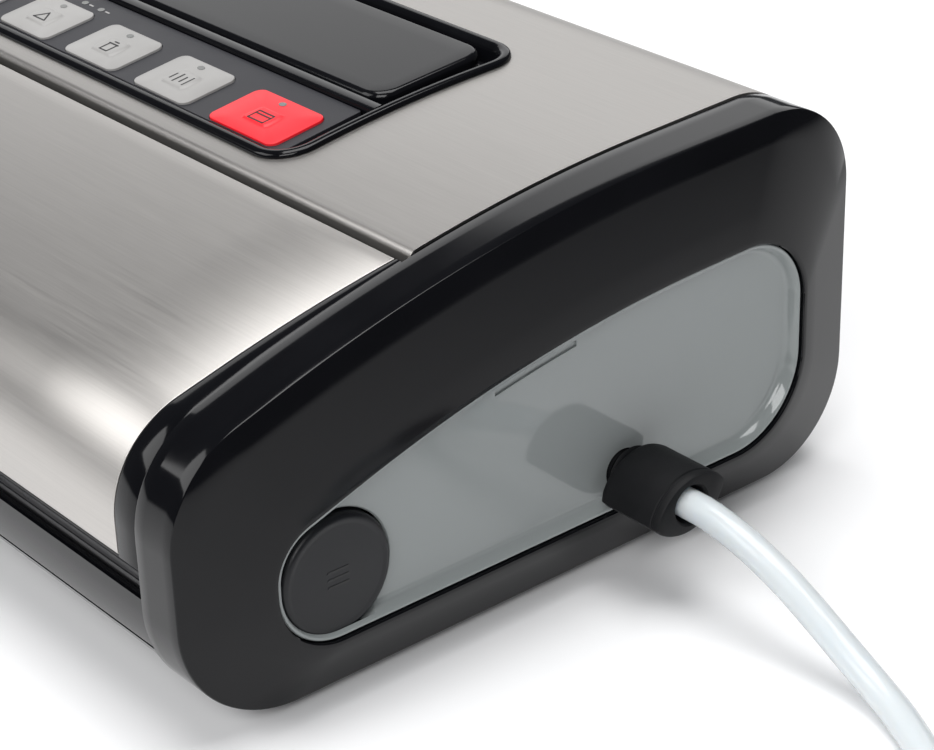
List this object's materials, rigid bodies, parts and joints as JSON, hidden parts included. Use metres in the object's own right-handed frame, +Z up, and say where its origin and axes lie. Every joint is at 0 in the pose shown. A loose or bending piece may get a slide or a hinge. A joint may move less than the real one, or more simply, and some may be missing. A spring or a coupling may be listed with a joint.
{
  "type": "vacuum sealer",
  "caption": "Countertop vacuum sealer with a hinged steel lid, sloping black end caps, grey side panels, a control panel and an accessory hose.",
  "frame": {"origin": "centre of the machine's footprint on the surface that it stands on, without its hose", "axes": "+X along the lid to the end with the hose port, -Y to the front, +Z up"},
  "size_m": [0.631, 0.227, 0.1141],
  "materials": {
    "steel": "brushed stainless, fine straight grain",
    "gloss_black": "polished moulding",
    "satin_black": "fine satin moulding",
    "panel_grey": "smooth gloss",
    "key_silver": "satin printed silver",
    "key_red": "satin printed red",
    "charcoal": "satin overlay film",
    "rubber": "matte moulded rubber",
    "silicone": "translucent silicone",
    "foam": "closed-cell foam",
    "board_green": "solder mask",
    "motor_metal": "zinc plated",
    "copper": "varnished winding and core",
    "tape": "non-stick glass cloth tape"
  },
  "bodies": {
    "base": {"base_shell": "gloss_black", "bottom_plate": "satin_black", "sealing_deck": "satin_black", "front_strip": "satin_black", "channel_tub": "satin_black", "drip_tray": "charcoal", "lower_gasket": "foam", "heater_bar": "motor_metal", "heater_tape": "tape", "rear_casing": "satin_black", "housing_cover": "steel", "end_cap_right": "gloss_black", "end_cap_left": "gloss_black", "side_panel_right": "panel_grey", "side_panel_left": "panel_grey", "hinge_pin_right": "motor_metal", "hinge_pin_left": "motor_metal", "button_spring_right": "motor_metal", "button_spring_left": "motor_metal", "control_bezel": "gloss_black", "key_membrane": "charcoal", "display_pad": "gloss_black", "control_board": "board_green", "pump_body": "satin_black", "pump_motor": "motor_metal", "transformer": "copper", "channel_tube": "silicone", "port_tube": "silicone", "port_socket": "rubber", "power_gland": "rubber", "base_screw_1": "motor_metal", "base_screw_2": "motor_metal", "base_screw_3": "motor_metal", "base_screw_4": "motor_metal", "foot_front_right": "rubber", "foot_front_left": "rubber", "foot_rear_right": "rubber", "foot_rear_left": "rubber"},
    "lid": {"lid_cover": "steel", "lid_liner": "satin_black", "pressure_pad": "rubber", "upper_gasket": "foam", "lid_trim_right": "gloss_black", "lid_trim_left": "gloss_black", "latch_hook_right": "satin_black", "latch_hook_left": "satin_black"},
    "button_right": {"release_button_right": "satin_black", "latch_slider_right": "satin_black"},
    "button_left": {"release_button_left": "satin_black", "latch_slider_left": "satin_black"},
    "crank": {"pump_crank": "motor_metal"},
    "hose": {"hose_plug": "rubber", "accessory_hose": "silicone", "hose_coil": "silicone", "hose_tip": "rubber"},
    "key_seal": {"key_seal": "key_red"},
    "key_1": {"key_1": "key_silver"},
    "key_2": {"key_2": "key_silver"},
    "key_3": {"key_3": "key_silver"},
    "key_4": {"key_4": "key_silver"}
  },
  "joints": [
    {"name": "lid_hinge", "type": "hinge", "parent": "base", "child": "lid", "pos_m": [0, -0.0365, 0.0935], "axis": [-1, 0, 0], "range_deg": [0, 75]},
    {"name": "button_right_press", "type": "slide", "parent": "base", "child": "button_right", "axis": [-1, 0, 0], "range_m": [0, 0.004], "stiffness_N_per_m": 600, "deforming": ["button_spring_right"]},
    {"name": "button_left_press", "type": "slide", "parent": "base", "child": "button_left", "axis": [1, 0, 0], "range_m": [0, 0.004], "stiffness_N_per_m": 600, "deforming": ["button_spring_left"]},
    {"name": "pump_crank_spin", "type": "hinge", "parent": "base", "child": "crank", "pos_m": [0.052, 0.0365, 0.0268], "axis": [1, 0, 0], "continuous": true},
    {"name": "hose_pull", "type": "slide", "parent": "base", "child": "hose", "axis": [1, 0, 0], "range_m": [0, 0.03]},
    {"name": "key_seal_press", "type": "slide", "parent": "base", "child": "key_seal", "axis": [0, 0.1508, -0.9886], "range_m": [0, 0.0008], "stiffness_N_per_m": 800},
    {"name": "key_1_press", "type": "slide", "parent": "base", "child": "key_1", "axis": [0, 0.1508, -0.9886], "range_m": [0, 0.0008], "stiffness_N_per_m": 800},
    {"name": "key_2_press", "type": "slide", "parent": "base", "child": "key_2", "axis": [0, 0.1508, -0.9886], "range_m": [0, 0.0008], "stiffness_N_per_m": 800},
    {"name": "key_3_press", "type": "slide", "parent": "base", "child": "key_3", "axis": [0, 0.1508, -0.9886], "range_m": [0, 0.0008], "stiffness_N_per_m": 800},
    {"name": "key_4_press", "type": "slide", "parent": "base", "child": "key_4", "axis": [0, 0.1508, -0.9886], "range_m": [0, 0.0008], "stiffness_N_per_m": 800}
  ]
}
